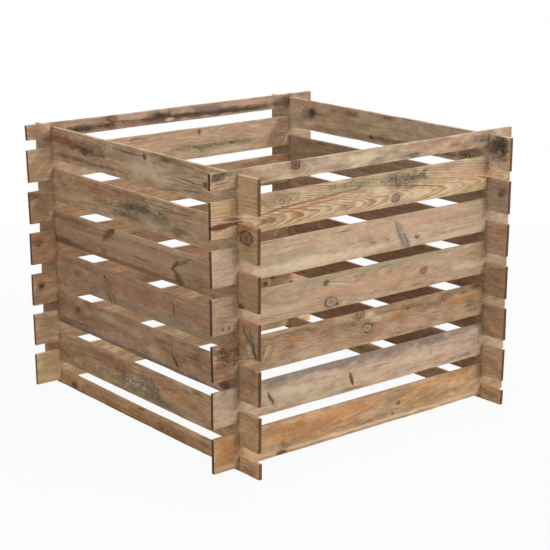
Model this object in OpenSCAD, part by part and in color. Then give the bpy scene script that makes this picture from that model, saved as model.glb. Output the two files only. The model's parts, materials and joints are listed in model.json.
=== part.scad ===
// A garden composter: a square crib of flat boards, stacked in courses.
// Boards along X (front and back walls) and boards along Y (left and right walls) cross near their
// ends. Each board is notched where it crosses, so the courses interlock with nothing to fasten them.
// The side walls start at the ground with a half board, and the front and back walls end at the top
// with one, so that the side boards always sit half a step above the front boards.
// The origin is on the ground, under the middle of the crib. The front wall faces -Y.

/* [Crib] */
// Length of the front and back boards, end to end
width = 1000; // [600:10:1600]
// Length of the side boards, end to end
depth = 1000; // [600:10:1600]
// Number of full boards in each wall
full_courses = 6; // [2:1:12]

/* [Boards] */
// Height of a full board
board_height = 90; // [80:1:150]
// Height of a half board, which closes the side walls at the ground and the others at the top
half_board_height = 42; // [40:1:76]
// Thickness of every board
board_thickness = 10; // [8:0.5:30]
// Width of the small chamfer along each long edge
edge_chamfer = 1; // [0.2:0.1:3]

/* [Corner notches] */
// How far each board runs on past the outer face of the boards that it crosses
overhang = 77; // [30:1:180]
// Depth of each notch, cut up into the lower edge or down into the upper edge
notch_depth = 16; // [8:1:19]
// How much wider a notch is than the board that sits in it
notch_clearance = 1; // [0.4:0.1:4]

/* [Hidden] */
// Two notches meet floor to floor, so a board sinks this far into the course below
sink = 2 * notch_depth;
// From one board to the next one above it in the same wall
course_pitch = 2 * (board_height - sink);
// Underside of the first full board in the front and back walls, clear of the ground
front_base = half_board_height - sink;
// Underside of the first full board in the side walls
side_base = front_base + board_height - sink;
// Underside of the half board on top of the front and back walls
top_base = side_base + (full_courses - 1) * course_pitch + board_height - sink;

// Middle planes of the walls
front_y = -(depth / 2 - overhang - board_thickness / 2);
left_x = -(width / 2 - overhang - board_thickness / 2);

// Wood tones, from the palest board to the most weathered one
pale_pine = [0.76, 0.64, 0.50];
tan_pine = [0.68, 0.53, 0.38];
brown_pine = [0.55, 0.41, 0.29];
grey_pine = [0.50, 0.42, 0.34];

// Tone of each full board, from the ground up
front_tones = [tan_pine, pale_pine, brown_pine, pale_pine, pale_pine, tan_pine];
back_tones = [tan_pine, brown_pine, tan_pine, brown_pine, grey_pine, tan_pine];
left_tones = [brown_pine, grey_pine, brown_pine, brown_pine, tan_pine, grey_pine];
right_tones = [tan_pine, brown_pine, tan_pine, brown_pine, brown_pine, grey_pine];

function tone(tones, course) = tones[(course - 1) % len(tones)];
function numbered(name) = [for (course = [1:full_courses]) str(name, course)];

// Cross-section of a board: Y is its thickness, Z its height, standing on Z = 0
module board_section(height) {
    half = board_thickness / 2;
    c = edge_chamfer;
    polygon([
        [-half, c], [-half + c, 0], [half - c, 0], [half, c],
        [half, height - c], [half - c, height], [-half + c, height], [-half, height - c]
    ]);
}

// Slot for a crossing board, open on both faces, reaching notch_depth above and below its own centre
module notch() {
    cube([board_thickness + notch_clearance, 2 * board_thickness, 2 * notch_depth], center = true);
}

// A board lying along X, centred on the origin, standing on Z = 0
module board(length, height, notched_below, notched_above) {
    notch_x = length / 2 - overhang - board_thickness / 2;
    difference() {
        rotate([90, 0, 90])
            linear_extrude(length, center = true)
                board_section(height);
        for (side = [-1, 1]) {
            if (notched_below) translate([side * notch_x, 0, 0]) notch();
            if (notched_above) translate([side * notch_x, 0, height]) notch();
        }
    }
}

// Full board of a wall that runs along X or along Y
module full_board(length) {
    board(length, board_height, true, true);
}

module front_board(course) {
    color(tone(front_tones, course))
        translate([0, front_y, front_base + (course - 1) * course_pitch])
            full_board(width);
}

module back_board(course) {
    color(tone(back_tones, course))
        translate([0, -front_y, front_base + (course - 1) * course_pitch])
            full_board(width);
}

module left_board(course) {
    color(tone(left_tones, course))
        translate([left_x, 0, side_base + (course - 1) * course_pitch])
            rotate(90) full_board(depth);
}

module right_board(course) {
    color(tone(right_tones, course))
        translate([-left_x, 0, side_base + (course - 1) * course_pitch])
            rotate(90) full_board(depth);
}

// The half boards under the side walls lie on the ground and are notched on top only
module left_bottom_half_board() {
    color(brown_pine)
        translate([left_x, 0, 0])
            rotate(90) board(depth, half_board_height, false, true);
}

module right_bottom_half_board() {
    color(tan_pine)
        translate([-left_x, 0, 0])
            rotate(90) board(depth, half_board_height, false, true);
}

// The half boards on top of the front and back walls are notched underneath only
module front_top_half_board() {
    color(pale_pine)
        translate([0, front_y, top_base])
            board(width, half_board_height, true, false);
}

module back_top_half_board() {
    color(brown_pine)
        translate([0, -front_y, top_base])
            board(width, half_board_height, true, false);
}

left_bottom_half_board();
right_bottom_half_board();
for (course = [1:full_courses]) {
    front_board(course);
    back_board(course);
    left_board(course);
    right_board(course);
}
front_top_half_board();
back_top_half_board();
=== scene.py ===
"""A wooden garden composter: a crib of notched pine boards, each one weathered in its own way."""

import json
import math
import random
from collections import namedtuple

import bpy
from mathutils import Matrix, Quaternion, Vector


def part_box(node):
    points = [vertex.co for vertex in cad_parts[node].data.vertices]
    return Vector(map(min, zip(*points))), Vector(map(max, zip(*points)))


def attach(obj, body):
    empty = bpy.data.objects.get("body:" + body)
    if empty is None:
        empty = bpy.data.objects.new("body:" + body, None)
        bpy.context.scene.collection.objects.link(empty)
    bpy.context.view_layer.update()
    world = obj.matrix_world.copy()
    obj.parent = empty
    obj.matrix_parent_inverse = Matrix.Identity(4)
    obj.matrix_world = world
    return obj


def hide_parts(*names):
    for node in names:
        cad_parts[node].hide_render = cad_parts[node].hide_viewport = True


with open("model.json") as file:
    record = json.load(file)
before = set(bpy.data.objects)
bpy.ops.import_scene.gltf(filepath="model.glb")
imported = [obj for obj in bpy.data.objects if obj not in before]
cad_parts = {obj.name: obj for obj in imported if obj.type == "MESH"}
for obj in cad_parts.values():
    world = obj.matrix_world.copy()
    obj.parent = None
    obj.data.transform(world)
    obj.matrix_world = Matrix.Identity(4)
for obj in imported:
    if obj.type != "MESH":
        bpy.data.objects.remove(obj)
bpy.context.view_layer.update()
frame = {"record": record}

# Sizes in metres, from the boards of the frame

MM = 0.001
front_low, front_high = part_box("front_board_1")
left_low, left_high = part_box("left_board_1")
ground_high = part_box("left_bottom_half_board")[1]
BOARD_THICKNESS = front_high.y - front_low.y
# From the middle of a board to the middle of the board that crosses it
CROSSING_ON_FRONT = -(left_low.x + left_high.x) / 2
CROSSING_ON_SIDE = -(front_low.y + front_high.y) / 2
NOTCH_DEPTH = (ground_high.z - front_low.z) / 2
NOTCH_CLEARANCE = 1 * MM
NOTCH_WIDTH = BOARD_THICKNESS + NOTCH_CLEARANCE

# Sizes of what saws, handling and weather left on the boards
CELL = 5 * MM
ARRIS = 1.6 * MM
MOST_BOW = 2.2 * MM
MOST_EDGE_WANDER = 1.3 * MM
MOST_END_TRIM = 3.0 * MM
FACE_RELIEF = 0.3 * MM
# Points of the mesh that lie closer than this are one point
JOIN_WITHIN = 0.01 * MM
# Each board's seed is a number from 0 to this
MOST_SEED = 20
# How far apart two whole seeds lie in the noise, in metres and in millimetres
SEED_STEP = (1.31, 0.57, 0.83)
SEED_STEP_MM = (1310.0, 570.0, 830.0)

# Node trees are written as arithmetic on their sockets

FLOAT = "NodeSocketFloat"
VECTOR = "NodeSocketVector"
COLOUR = "NodeSocketColor"
MATERIAL = "NodeSocketMaterial"
GEOMETRY = "NodeSocketGeometry"


class Field:
    """An output socket of a node tree. Arithmetic on it adds the matching Math nodes."""

    def __init__(self, socket):
        self.socket = socket
        self.tree = socket.id_data

    def __add__(self, other):
        return maths("ADD", self, other)

    def __sub__(self, other):
        return maths("SUBTRACT", self, other)

    def __rsub__(self, other):
        return maths("SUBTRACT", other, self)

    def __mul__(self, other):
        return maths("MULTIPLY", self, other)

    def __truediv__(self, other):
        return maths("DIVIDE", self, other)

    __radd__ = __add__
    __rmul__ = __mul__

    def size(self):
        return maths("ABSOLUTE", self)

    def sign(self):
        return maths("SIGN", self)

    def whole(self):
        return maths("ROUND", self)

    def over(self, limit):
        return maths("GREATER_THAN", self, limit)

    def at_least(self, limit):
        return maths("MAXIMUM", self, limit)

    def power(self, exponent):
        return maths("POWER", self, exponent)

    def step(self, start, end):
        """0 before start and 1 after end, smooth between them. Falls where start is the larger."""
        return output_of("ShaderNodeMapRange", {0: self, 1: start, 2: end}, interpolation_type="SMOOTHSTEP")


def set_inputs(node, inputs):
    """Links or sets a node's inputs, which are keyed by the socket's name or number."""
    for key, value in inputs.items():
        if isinstance(value, Field):
            node.id_data.links.new(value.socket, node.inputs[key])
        else:
            node.inputs[key].default_value = value


def add_node(tree, kind, inputs=None, **settings):
    made = tree.nodes.new(kind)
    for name, value in settings.items():
        setattr(made, name, value)
    set_inputs(made, inputs or {})
    return made


def tree_of(inputs):
    """The tree that a node with these inputs belongs in."""
    return next(value.tree for value in inputs.values() if isinstance(value, Field))


def output_of(kind, inputs, output=0, **settings):
    """One output of a new node."""
    return Field(add_node(tree_of(inputs), kind, inputs, **settings).outputs[output])


def maths(operation, *values):
    return output_of("ShaderNodeMath", dict(enumerate(values)), operation=operation)


def vector_maths(operation, *values):
    output = "Value" if operation == "LENGTH" else "Vector"
    return output_of("ShaderNodeVectorMath", dict(enumerate(values)), output, operation=operation)


def scaled(vector, factor):
    return output_of("ShaderNodeVectorMath", {0: vector, "Scale": factor}, "Vector", operation="SCALE")


def split(vector):
    made = add_node(vector.tree, "ShaderNodeSeparateXYZ", {0: vector})
    return [Field(output) for output in made.outputs]


def joined(x, y, z):
    return output_of("ShaderNodeCombineXYZ", {0: x, 1: y, 2: z})


def noise(place, lengths, detail=1.0, output="Fac"):
    """Smooth noise from 0 to 1 whose lumps are about this long along each axis."""
    fine = vector_maths("MULTIPLY", place, tuple(1 / length for length in lengths))
    return output_of("ShaderNodeTexNoise", {"Vector": fine, "Scale": 1.0, "Detail": detail}, output)


def ripple(place, lengths, detail=1.0):
    """The same from -0.5 to 0.5."""
    return noise(place, lengths, detail) - 0.5


def line_noise(number):
    """Smooth noise from 0 to 1 along one number."""
    values = {"W": number, "Scale": 1.0, "Detail": 1.0}
    return output_of("ShaderNodeTexNoise", values, "Fac", noise_dimensions="1D")


def mixed(amount, first, second):
    """The first colour where the amount is 0 and the second where it is 1."""
    return output_of("ShaderNodeMix", {0: amount, 6: first, 7: second}, 2, data_type="RGBA")


def tinted(colour, tint):
    return vector_maths("MULTIPLY", colour, tint)


def sockets(kind, *labels):
    return dict.fromkeys(labels, kind)


def start_group(name, inputs, kind="ShaderNodeTree"):
    """A new node group with these input sockets, and its inputs as Fields."""
    tree = bpy.data.node_groups.new(name, kind)
    for label, socket in inputs.items():
        tree.interface.new_socket(label, in_out="INPUT", socket_type=socket)
    entry = tree.nodes.new("NodeGroupInput")
    return tree, {label: Field(entry.outputs[label]) for label in inputs}


def end_group(tree, outputs, results):
    """Gives the group these output sockets and results."""
    for label, socket in outputs.items():
        tree.interface.new_socket(label, in_out="OUTPUT", socket_type=socket)
    add_node(tree, "NodeGroupOutput", results)
    return tree


def use_group(group, inputs):
    """Places a node group and returns its outputs by name."""
    made = add_node(tree_of(inputs), "ShaderNodeGroup", inputs, node_tree=group)
    return {output.name: Field(output) for output in made.outputs}


# Shape of a board: X runs along it from its middle, Y through it from its middle, Z up from its underside

BOARD_SIZES = ("Length", "Height", "Thickness", "Cell")
NOTCH_SIZES = ("Crossing", "Notch Width", "Notch Depth", "Notched Below", "Notched Above")
WEAR_SIZES = ("Bow", "Edge Wander", "Low End Trim", "High End Trim", "Relief", "Seed")


def snapped(number, size, cell, edge):
    """The number, moved to the edge where the edge's own grid line is. The grid is size long."""
    line = ((number + size / 2) / cell).whole()
    edge_line = ((edge + size / 2) / cell).whole()
    here = 1 - (line - edge_line).size().over(0.5)
    return number + here * (edge - number)


def board_shape():
    """A flat grid whose lines follow the notches, cut out there, thickened, and then bowed and worn."""
    inputs = sockets(FLOAT, *BOARD_SIZES, *NOTCH_SIZES, *WEAR_SIZES) | sockets(MATERIAL, "Wood")
    tree, given = start_group("board_shape", inputs, "GeometryNodeTree")
    length, height, thickness = given["Length"], given["Height"], given["Thickness"]
    crossing, half_notch = given["Crossing"], given["Notch Width"] / 2
    columns = (length / given["Cell"]).whole()
    rows = (height / given["Cell"]).whole()
    grid = output_of(
        "GeometryNodeMeshGrid",
        {"Size X": length, "Size Y": height, "Vertices X": columns + 1, "Vertices Y": rows + 1},
    )
    place = Field(add_node(tree, "GeometryNodeInputPosition").outputs[0])

    # Grid lines move to the notches' walls and floors
    notch_start = crossing - half_notch
    notch_end = crossing + half_notch
    notch_floor = height / 2 - given["Notch Depth"]
    x, y, _ = split(place)
    at_start = snapped(x.size(), length, length / columns, notch_start)
    at_end = snapped(x.size(), length, length / columns, notch_end)
    new_x = x.sign() * (at_start + at_end - x.size())
    new_y = y.sign() * snapped(y.size(), height, height / rows, notch_floor)
    lined = output_of("GeometryNodeSetPosition", {"Geometry": grid, "Position": joined(new_x, new_y, 0.0)})

    # Faces in the notches are cut out
    in_notch = x.size().over(notch_start) * (1 - x.size().over(notch_end)) * y.size().over(notch_floor)
    is_above = y.over(0.0)
    is_notched = is_above * given["Notched Above"] + (1 - is_above) * given["Notched Below"]
    is_cut = (in_notch * is_notched).over(0.5)
    flat = output_of("GeometryNodeDeleteGeometry", {"Geometry": lined, "Selection": is_cut}, domain="FACE")

    # The sheet becomes a closed solid
    raised = output_of(
        "GeometryNodeExtrudeMesh",
        {"Mesh": flat, "Offset": (0.0, 0.0, 1.0), "Offset Scale": thickness, "Individual": False},
        mode="FACES",
    )
    under = output_of("GeometryNodeFlipFaces", {"Mesh": flat})
    both = add_node(tree, "GeometryNodeJoinGeometry")
    for sheet in (raised, under):
        set_inputs(both, {0: sheet})
    solid = {"Geometry": Field(both.outputs[0]), "Distance": JOIN_WITHIN}
    closed = output_of("GeometryNodeMergeByDistance", solid)

    # It stands up on its edge
    along, up, through = split(place)
    upright = joined(along, thickness / 2 - through, up + height / 2)
    stood = output_of("GeometryNodeSetPosition", {"Geometry": closed, "Position": upright})

    # Between its crossings it bows, its edges wander inwards, and its ends are cut a little short
    along, through, up = split(place)
    seeded = vector_maths("ADD", place, scaled(SEED_STEP, given["Seed"]))
    middle = 1 - (along.size() / crossing).step(0.35, 0.97)
    bow = middle * given["Bow"] * ripple(seeded, (0.7, 9.0, 9.0)) * 4
    off_crossing = ((along.size() - crossing).size() - half_notch).step(0.0, 0.02)
    relief = off_crossing * given["Relief"] * ripple(seeded, (0.07, 0.03, 0.025), 2.0) * 2
    height_share = up / height * 2 - 1
    near_edge = height_share.size().power(6.0)
    edge_noise = noise(seeded, (0.13, 9.0, 0.06), 2.0).step(0.35, 0.75)
    wander = off_crossing * near_edge * given["Edge Wander"] * edge_noise
    is_high_end = along.over(0.0)
    trim = is_high_end * given["High End Trim"] + (1 - is_high_end) * given["Low End Trim"]
    outside = (along.size() - crossing).step(0.02, 0.08)
    saw_skew = 0.6 + 0.4 * height_share * (is_high_end * 2 - 1)
    moved = joined(
        along.sign() * (outside * trim * saw_skew) * -1,
        bow + relief * through.sign() * -1,
        height_share.sign() * wander * -1,
    )
    worn = output_of("GeometryNodeSetPosition", {"Geometry": stood, "Offset": moved})

    # How far each edge is rounded over, as a share of the bevel's width
    angle = Field(add_node(tree, "GeometryNodeInputMeshEdgeAngle").outputs["Unsigned Angle"])
    rounding = angle.over(0.6) * (0.35 + 0.65 * noise(seeded, (0.05, 0.05, 0.03), 2.0).step(0.3, 0.7))
    marked = output_of(
        "GeometryNodeStoreNamedAttribute",
        {"Geometry": worn, "Name": "bevel_weight_edge", "Value": rounding},
        data_type="FLOAT",
        domain="EDGE",
    )
    smooth = output_of("GeometryNodeSetShadeSmooth", {"Geometry": marked})
    real = output_of("GeometryNodeRealizeInstances", {"Geometry": smooth})
    finished = output_of("GeometryNodeSetMaterial", {"Geometry": real, "Material": given["Wood"]})
    return end_group(tree, sockets(GEOMETRY, "Geometry"), {"Geometry": finished})


# Wood. Materials work in millimetres, in the board's own directions: along it, through it and up it

# Larger than any board, so that a mark takes no notice of this direction
ANY_DEPTH = 1000.0
# A colour is given as a screen shows it, in 0 to 255 steps
BARK = (60, 44, 36)
# A tint is what a colour's red, green and blue are multiplied by
PALE_WOOD = (1.08, 1.08, 1.08)
LATE_WOOD = (0.62, 0.47, 0.34)
REDDER = (1.05, 0.92, 0.84)
OLIVE = (0.90, 0.95, 0.86)
GRIME = (0.56, 0.53, 0.48)
ROUND_A_KNOT = (0.74, 0.70, 0.62)
# The tint of the painted shade where two boards cross
CROSSING_SHADE = (0.64, 0.61, 0.57)
RUBBED = (1.12, 1.17, 1.22)
END_GRAIN = (0.21, 0.13, 0.07)

# What a surface is made of, where a mark is on it, and what else a stain has
SURFACE = sockets(COLOUR, "Colour") | sockets(FLOAT, "Relief")
MARK = SURFACE | sockets(VECTOR, "Place", "Centre", "Reach")
STAIN_MARK = MARK | sockets(COLOUR, "Stain") | sockets(FLOAT, "Turn", "Amount", "Side")


def linear(colour):
    """A colour given in 0 to 255 steps as a screen shows it, as the numbers that light is reckoned in."""
    shares = [step / 255 for step in colour]
    return tuple(((s + 0.055) / 1.055) ** 2.4 if s > 0.04045 else s / 12.92 for s in shares) + (1.0,)


def toned(colour, tint):
    """A linear colour with a tint."""
    return tuple(part * share for part, share in zip(colour, tint)) + (1.0,)


def end_surface(tree, colour, relief):
    return end_group(tree, SURFACE, {"Colour": colour, "Relief": relief})


def pine_group():
    """Sawn pine as a solid: rings round the heart of the trunk, which each face of the board cuts anew."""
    tree, given = start_group(
        "pine",
        sockets(VECTOR, "Grain", "Heart")
        | sockets(FLOAT, "Drift", "Ring Width", "Figure", "Mottle", "Wave", "Seed")
        | sockets(COLOUR, "Pale", "Dark"),
    )
    away = scaled(SEED_STEP_MM, given["Seed"])
    still = vector_maths("ADD", given["Grain"], away)
    taper, depth, height = split(given["Heart"])

    # The grain climbs and falls along the board
    long_bend = ripple(still, (260, 900, 70))
    short_bend = ripple(still, (48, 900, 22), 2.0)
    along, through, up = split(given["Grain"])
    up = up + (long_bend * 1.5 + short_bend * 0.5) * given["Wave"]
    seeded = vector_maths("ADD", joined(along, through, up), away)

    # The heart wanders along the trunk, the rings waver, and the trunk tapers
    drift_depth, _, drift_height = split(noise(seeded, (230, 900, 900), output="Color"))
    heart_y = through + depth + (drift_depth - 0.5) * given["Drift"]
    heart_z = up - height + (drift_height - 0.5) * given["Drift"]
    waver = ripple(seeded, (70, 25, 18), 2.0) * 5
    radius = vector_maths("LENGTH", joined(0.0, heart_y, heart_z)) + taper * along + waver
    rings = radius / given["Ring Width"] + line_noise(radius / 11 + given["Seed"]) * 1.6
    phase = maths("FRACT", rings)
    year = maths("FLOOR", rings) + given["Seed"]
    year_strength = output_of("ShaderNodeTexWhiteNoise", {"W": year}, "Value", noise_dimensions="1D")
    late = phase.step(0.2, 0.85) * phase.step(1.0, 0.92) * (year_strength * 0.5 + 0.5)

    # Fibres, coarser stripes, a cloudy mottle, short dark dashes, and fine drying cracks
    fibre = ripple(seeded, (45, 1.0, 0.9), 2.0)
    stripe = ripple(seeded, (90, 6.0, 4.2), 3.0)
    cloud = ripple(seeded, (64, 40, 26), 4.0)
    blotch = ripple(seeded, (24, 12, 9), 4.0)
    dashes = noise(seeded, (17, 3.2, 2.8), 2.0).step(0.60, 0.70)
    cracks = noise(seeded, (60, 3.0, 0.8)).step(0.70, 0.78)
    light = 1 + fibre * 0.35 + stripe * 0.55 + blotch * 0.65 + cloud * given["Mottle"] * 1.3
    light = (light * (1 - cracks * 0.4) * (1 - dashes * 0.16)).at_least(0.2)
    colour = mixed(late * given["Figure"], given["Pale"], given["Dark"])
    clean = tinted(colour, joined(light, light.power(1.12), light.power(1.25)))

    # Weather: the preservative is redder here and greener there, and grime gathers in flecks
    red_band, olive_band, grimy_band = split(noise(seeded, (130, 60, 34), 3.0, output="Color"))
    flecks = noise(seeded, (13, 5, 5), 4.0).step(0.57, 0.72)
    grime = flecks * (0.12 + 0.5 * grimy_band.step(0.48, 0.7))
    colour = mixed(red_band.step(0.48, 0.66) * 0.8, clean, tinted(clean, REDDER))
    colour = mixed(olive_band.step(0.54, 0.70) * 0.6, colour, tinted(clean, OLIVE))
    colour = mixed(grime, colour, tinted(clean, GRIME))

    sawn = ripple(seeded, (1.4, 50, 50))
    relief = late * 0.12 + fibre * 0.3 + stripe * 0.2 + sawn * 0.08 - cracks * 0.35
    roughness = 0.82 + cloud * 0.2 - late * 0.08
    results = {"Colour": colour, "Relief": relief, "Roughness": roughness}
    return end_group(tree, SURFACE | sockets(FLOAT, "Roughness"), results)


def round_knot_group():
    """Grain that parts and flows round a knot."""
    tree, given = start_group("grain_round_knot", sockets(VECTOR, "Grain", "Centre", "Reach"))
    away = vector_maths("SUBTRACT", given["Grain"], given["Centre"])
    reach = vector_maths("MULTIPLY", given["Reach"], (2.6, 1.0, 1.9))
    distance = vector_maths("LENGTH", vector_maths("DIVIDE", away, reach))
    pull = maths("EXPONENT", distance * distance * -1)
    shift = vector_maths("MULTIPLY", scaled(away, pull), (0.0, 0.0, -0.8))
    return end_group(tree, sockets(VECTOR, "Grain"), {"Grain": vector_maths("ADD", given["Grain"], shift)})


def share_of_reach(place, given):
    """How far a place lies from a mark's centre, as a share of the mark's reach each way."""
    return vector_maths("DIVIDE", vector_maths("SUBTRACT", place, given["Centre"]), given["Reach"])


def turned_share(given):
    """The same in a mark that is turned on its face."""
    turned = output_of(
        "ShaderNodeVectorRotate",
        {"Vector": given["Place"], "Center": given["Centre"], "Angle": given["Turn"]},
        rotation_type="Y_AXIS",
    )
    return share_of_reach(turned, given)


def stained(given, mask):
    """The surface's colour with the stain on it, on the face that the mark is on, and where the stain is."""
    through = split(given["Place"])[1]
    on_face = (given["Side"] * through).step(-3.5, -0.5)
    mask = mask * given["Amount"] * on_face
    return mixed(mask, given["Colour"], given["Stain"]), mask


def knot_group():
    """The knot itself: rings, a dark rim of bark, and darker wood around it."""
    tree, given = start_group("knot", MARK | sockets(COLOUR, "Heartwood") | sockets(FLOAT, "Darkness"))
    place, heartwood, darkness = given["Place"], given["Heartwood"], given["Darkness"]
    distance = vector_maths("LENGTH", share_of_reach(place, given)) + ripple(place, (18, 14, 11), 3.0) * 0.8
    rings = maths("SINE", distance * 16) * 0.5 + 0.5
    broken = noise(place, (9, 9, 9), 2.0).step(0.35, 0.6)
    body = distance.step(1.15, 0.85)
    core = distance.step(0.6, 0.1)
    rim = distance.step(0.7, 0.92) * distance.step(1.2, 0.98) * (0.3 + 0.7 * broken)
    halo = distance.step(2.4, 0.9)
    colour = mixed(halo * 0.6 * darkness, given["Colour"], tinted(given["Colour"], ROUND_A_KNOT))
    colour = mixed(body * 0.75, colour, scaled(heartwood, 0.9 + rings * 0.3))
    colour = mixed(core * 0.6 * darkness, colour, scaled(heartwood, 0.5))
    colour = mixed(rim * 0.85 * darkness, colour, linear(BARK))
    return end_surface(tree, colour, given["Relief"] + body * 0.25 - rim * 0.5)


def patch_group():
    """A stain with a ragged edge, which can break up into specks of mould. The painted shade deep in the crib
    is drawn as such a patch too.
    """
    tree, given = start_group("patch", STAIN_MARK | sockets(FLOAT, "Speckle"))
    place = given["Place"]
    ragged = ripple(place, (28, 8, 14), 4.0)
    soft = (vector_maths("LENGTH", turned_share(given)) + ragged * 1.5).step(1.2, 0.35)
    clumps = noise(place, (32, 10, 18), 3.0).step(0.34, 0.60)
    specks = noise(place, (7.0, 4.5, 5.5), 3.0).step(0.47, 0.57)
    broken = soft * 0.15 + soft.step(0.0, 0.5) * clumps * specks * 0.85
    colour, _ = stained(given, soft + given["Speckle"] * (broken - soft))
    return end_surface(tree, colour, given["Relief"])


def streak_group():
    """A scar or a crack, pointed at both ends."""
    tree, given = start_group("streak", STAIN_MARK)
    along, _, up = split(turned_share(given))
    waver = ripple(given["Place"], (20, 9, 9), 3.0)
    width = (1 - along * along).at_least(0.001)
    streak = ((up + waver * 2.2).size() / width).step(1.3, 0.3) * along.size().step(1.0, 0.9)
    colour, mask = stained(given, streak)
    return end_surface(tree, colour, given["Relief"] - mask * 0.5)


def outside_group():
    """What every board has: dark sawn ends, pale worn arrises, and painted shade where boards cross."""
    sizes = sockets(FLOAT, "Board Height", "Half Thickness", "Crossing")
    tree, given = start_group("outside", SURFACE | sockets(VECTOR, "Place", "Normal") | sizes)
    along, through, up = split(given["Place"])
    rough = noise(given["Place"], (14, 7, 7), 3.0)

    # Painted shade: the wood is darkened beside the board that crosses it
    from_crossing = (along.size() - given["Crossing"]).size()
    crossing_shade = (from_crossing + (rough - 0.5) * 14).step(15, 5)
    colour = mixed(crossing_shade * 0.5, given["Colour"], tinted(given["Colour"], CROSSING_SHADE))

    # Arrises are rubbed pale, here and there
    from_face = given["Half Thickness"] - through.size()
    from_top = given["Board Height"] / 2 - (up - given["Board Height"] / 2).size()
    rubbed = from_face.at_least(from_top).step(2.6, 0.6) * rough.step(0.35, 0.6)
    colour = mixed(rubbed * 0.7, colour, tinted(colour, RUBBED))

    # End grain soaks up more of the preservative
    facing_along = split(given["Normal"])[0]
    is_end = facing_along.size().step(0.45, 0.85)
    colour = mixed(is_end * (0.9 + 0.1 * rough), colour, tinted(colour, END_GRAIN))
    return end_surface(tree, colour, given["Relief"] + is_end * (rough - 0.5) * 0.8)


# Stains, the painted shade deep in the crib, and the wood of knots
BLACK = (48, 42, 35)
MOULD = (74, 68, 54)
GREEN = (146, 142, 110)
DARK_GREEN = (86, 80, 58)
BLUE_GREY = (112, 101, 96)
BROWN = (116, 80, 54)
DARK = (80, 56, 40)
DARK_RED = (104, 58, 36)
# Painted shade: the dark red-brown laid on the insides of the walls, where shade falls deep in the crib
INSIDE_SHADE = (112, 74, 54)
RED = (162, 100, 76)
RUST = (146, 88, 46)
ORANGE = (206, 140, 76)
YELLOW = (208, 172, 118)
PINK = (198, 154, 130)
CREAM = (218, 198, 166)
LICHEN = (224, 206, 172)
KNOT_WOOD = (142, 108, 80)
PURPLE_KNOT = (148, 110, 98)
GREY_KNOT = (152, 136, 112)
BLACK_KNOT = (82, 66, 54)
DARK_KNOT = (104, 74, 56)

# What marks the boards. Places are millimetres along the board from its middle and up from its underside,
# widths run along it and heights up it, and a turn is in degrees. Side 1 is the face that the photograph
# shows, and OTHER_SIDE the one behind it

OTHER_SIDE = -1
Knot = namedtuple("Knot", "along up width height wood darkness", defaults=(KNOT_WOOD, 1.0))
Patch = namedtuple("Patch", "stain along up width height amount speckle turn side", defaults=(0.0, 0.0, 1))
Streak = namedtuple("Streak", "stain along up width height amount turn side", defaults=(0.0, 1))

# A board's wood: its tone, how strong its rings show, the trunk's taper and its heart's depth and height,
# the rings' width, how far the heart wanders, how cloudy the wood is, how far its grain climbs and falls, and
# the tint of late wood. A heart that isn't given is drawn at random
Wood = namedtuple(
    "Wood",
    "tone figure heart ring_width drift mottle wave late",
    defaults=(0.45, None, 4.0, 18.0, 0.6, 8.0, LATE_WOOD),
)

WOOD = {
    "front_top_half_board": Wood((172, 149, 124), figure=0.4, mottle=1.2, wave=14.0),
    "front_board_6": Wood(
        (190, 167, 137), figure=1.0, heart=(0.11, 20, 24), ring_width=4.4, drift=8, mottle=0.5, wave=6.0,
        late=(0.60, 0.40, 0.20),
    ),
    "front_board_5": Wood((178, 154, 128), figure=0.22, ring_width=3.4, mottle=0.28, wave=4.0),
    "front_board_4": Wood((171, 146, 119), figure=0.35, ring_width=3.6, mottle=0.5, wave=6.0),
    "front_board_3": Wood((162, 136, 108), figure=0.75, mottle=1.2, ring_width=4.6, drift=30, wave=26.0),
    "front_board_2": Wood((179, 156, 132), figure=0.2, mottle=0.5, wave=5.0),
    "front_board_1": Wood((178, 147, 113), figure=0.5, mottle=1.25, wave=20.0),
    "left_board_6": Wood((190, 162, 131), figure=0.6, heart=(-0.03, 30, 60), mottle=0.8),
    "left_board_5": Wood(
        (184, 154, 122), figure=0.45, heart=(-0.06, 30, 74), ring_width=4.6, mottle=0.8, wave=5.0,
    ),
    "left_board_4": Wood((169, 137, 107), figure=0.2, mottle=0.5, wave=5.0),
    "left_board_3": Wood((172, 138, 109), figure=0.35, mottle=0.6),
    "left_board_2": Wood((169, 136, 107), figure=0.3, mottle=1.35, wave=12.0),
    "left_board_1": Wood((190, 157, 121), figure=0.45, mottle=0.9, wave=14.0),
    "left_bottom_half_board": Wood((198, 160, 120), figure=0.5, mottle=0.9),
    "back_top_half_board": Wood((168, 144, 122), figure=0.4, mottle=1.2, wave=8.0),
    "back_board_6": Wood((181, 156, 128), figure=0.5, heart=(-0.05, 34, 76)),
    "back_board_5": Wood((174, 143, 113), mottle=0.8),
    "back_board_4": Wood((180, 147, 115), mottle=0.7),
    "back_board_3": Wood((193, 159, 125), mottle=0.7),
    # Painted light: the two lowest back boards have tones paler than their wood, to make up for the shade
    # they stand in
    "back_board_2": Wood((220, 187, 152)),
    "back_board_1": Wood((238, 208, 166), figure=0.3, mottle=0.5),
    "right_board_6": Wood((196, 172, 146), figure=0.3, mottle=0.8),
    "right_board_5": Wood((168, 145, 120), mottle=0.8),
    "right_board_4": Wood((177, 147, 120)),
    "right_board_3": Wood((173, 143, 112), mottle=0.7),
    "right_board_2": Wood((172, 141, 111), mottle=0.6),
    "right_board_1": Wood((188, 156, 125), mottle=0.6),
    "right_bottom_half_board": Wood((184, 152, 119), mottle=0.7),
}

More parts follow.
